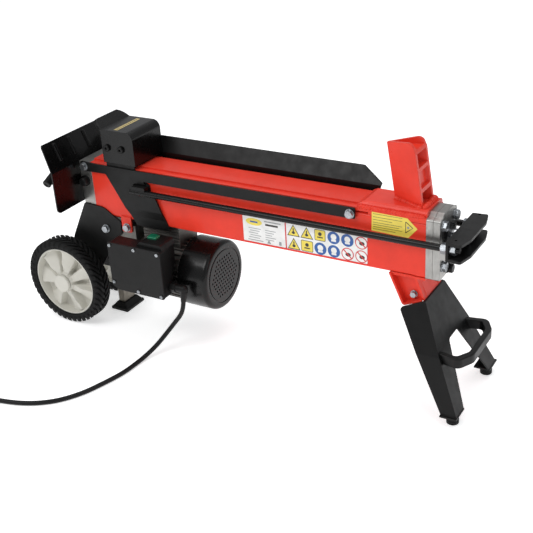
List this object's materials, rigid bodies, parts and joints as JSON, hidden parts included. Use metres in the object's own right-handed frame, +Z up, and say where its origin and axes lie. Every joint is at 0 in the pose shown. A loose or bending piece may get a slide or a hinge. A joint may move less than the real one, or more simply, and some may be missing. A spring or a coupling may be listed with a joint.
{
  "type": "log splitter",
  "caption": "Horizontal electric hydraulic log splitter: beam with fixed wedge, sliding pusher, side pull rods, motor, two wheels and an A-shaped leg.",
  "frame": {"origin": "on the floor, below the middle of the outline of the machine without its lead; the middle plane of the beam is y = 8 mm", "axes": "+X along the beam from the pusher to the wedge, +Y to the side away from the switch box, +Z up"},
  "size_m": [1.026, 0.5015, 0.467],
  "materials": {
    "red_paint": "gloss powder coat",
    "red_cast": "gloss paint on a casting",
    "machined_aluminium": "machined",
    "cast_aluminium": "as cast",
    "zinc_bolts": "bright zinc",
    "black_bolts": "black oxide",
    "bright_steel": "ground",
    "chrome_rod": "hard chrome",
    "black_rod": "satin black",
    "dark_steel": "drawn tube",
    "copper_iron": "laminated iron and enamelled wire",
    "black_plastic": "fine texture",
    "capacitor_plastic": "smooth",
    "green_button": "gloss",
    "black_paint": "satin powder coat",
    "gloss_black_paint": "gloss powder coat",
    "grip_rubber": "matt",
    "rim_plastic": "satin",
    "tyre_rubber": "matt",
    "post_steel": "bare tube",
    "pad_rubber": "matt",
    "cord_rubber": "matt sheath",
    "label_vinyl": "printed vinyl"
  },
  "bodies": {
    "chassis": {"axle_caps": "rim_plastic", "beam_tube": "red_paint", "cable_gland": "black_plastic", "capacitor": "capacitor_plastic", "cord_coil": "cord_rubber", "cylinder_tube": "dark_steel", "dipstick_plug": "black_plastic", "end_plate_bolts": "zinc_bolts", "fan_cover": "gloss_black_paint", "far_log_plate": "black_paint", "frame_bolts": "zinc_bolts", "front_leg": "black_paint", "inner_end_plate": "machined_aluminium", "leg_bracket": "red_paint", "lever_guard": "gloss_black_paint", "lid_screws": "zinc_bolts", "lifting_handle": "black_paint", "mains_cord": "cord_rubber", "mains_plug": "cord_rubber", "motor_bearings": "bright_steel", "motor_end_bell": "cast_aluminium", "motor_housing": "cast_aluminium", "near_log_plate": "black_paint", "outer_end_plate": "machined_aluminium", "pump_body": "cast_aluminium", "rod_gland": "black_paint", "rubber_feet": "pad_rubber", "spool_cap": "black_plastic", "stator": "copper_iron", "support_pad": "pad_rubber", "support_post": "post_steel", "switch_box": "black_plastic", "switch_lid": "black_plastic", "top_rail": "red_paint", "valve_block": "machined_aluminium", "wedge": "red_cast", "wedge_base": "red_paint", "wheel_axle": "bright_steel", "wheel_brackets": "black_paint"},
    "ram": {"piston": "bright_steel", "piston_rod": "chrome_rod", "pull_rods": "black_rod", "yoke": "black_paint", "yoke_nuts": "zinc_bolts", "pusher_box": "gloss_black_paint", "pusher_slide": "black_paint", "pusher_bolts": "black_bolts"},
    "near_wheel": {"near_rim": "rim_plastic", "near_tyre": "tyre_rubber"},
    "far_wheel": {"far_rim": "rim_plastic", "far_tyre": "tyre_rubber"},
    "lever": {"lever_shaft": "bright_steel", "control_lever": "black_paint", "lever_grip": "grip_rubber"},
    "spool": {"valve_spool": "bright_steel"},
    "rotor": {"rotor_shaft": "bright_steel", "cooling_fan": "black_plastic", "drive_gear": "bright_steel"},
    "pump_idler": {"driven_gear": "bright_steel"},
    "start": {"start_button": "green_button"}
  },
  "joints": [
    {"name": "ram_slide", "type": "slide", "parent": "chassis", "child": "ram", "axis": [1, 0, 0], "range_m": [0, 0.38]},
    {"name": "near_wheel_spin", "type": "hinge", "parent": "chassis", "child": "near_wheel", "pos_m": [-0.384, -0.066, 0.0934], "axis": [0, 1, 0], "continuous": true},
    {"name": "far_wheel_spin", "type": "hinge", "parent": "chassis", "child": "far_wheel", "pos_m": [-0.384, 0.082, 0.0934], "axis": [0, 1, 0], "continuous": true},
    {"name": "lever_press", "type": "hinge", "parent": "chassis", "child": "lever", "pos_m": [-0.355, 0.008, 0.322], "axis": [1, 0, 0], "range_deg": [0, 18], "stiffness_Nm_per_rad": 1.2, "springref_deg": -8.59},
    {"name": "spool_slide", "type": "slide", "parent": "chassis", "child": "spool", "axis": [0, 1, 0], "range_m": [0, 0.0046]},
    {"name": "rotor_spin", "type": "hinge", "parent": "chassis", "child": "rotor", "pos_m": [-0.15, 0.008, 0.138], "axis": [1, 0, 0], "continuous": true},
    {"name": "idler_spin", "type": "hinge", "parent": "chassis", "child": "pump_idler", "pos_m": [-0.253, 0.008, 0.162], "axis": [1, 0, 0], "continuous": true},
    {"name": "start_press", "type": "slide", "parent": "chassis", "child": "start", "axis": [0, 0, -1], "range_m": [0, 0.0035], "stiffness_N_per_m": 400, "springref_m": -0.002}
  ],
  "couplings": [
    {"joint": "spool_slide", "follows": "lever_press", "m_per_rad": 0.0139},
    {"joint": "idler_spin", "follows": "rotor_spin", "ratio": -1}
  ]
}
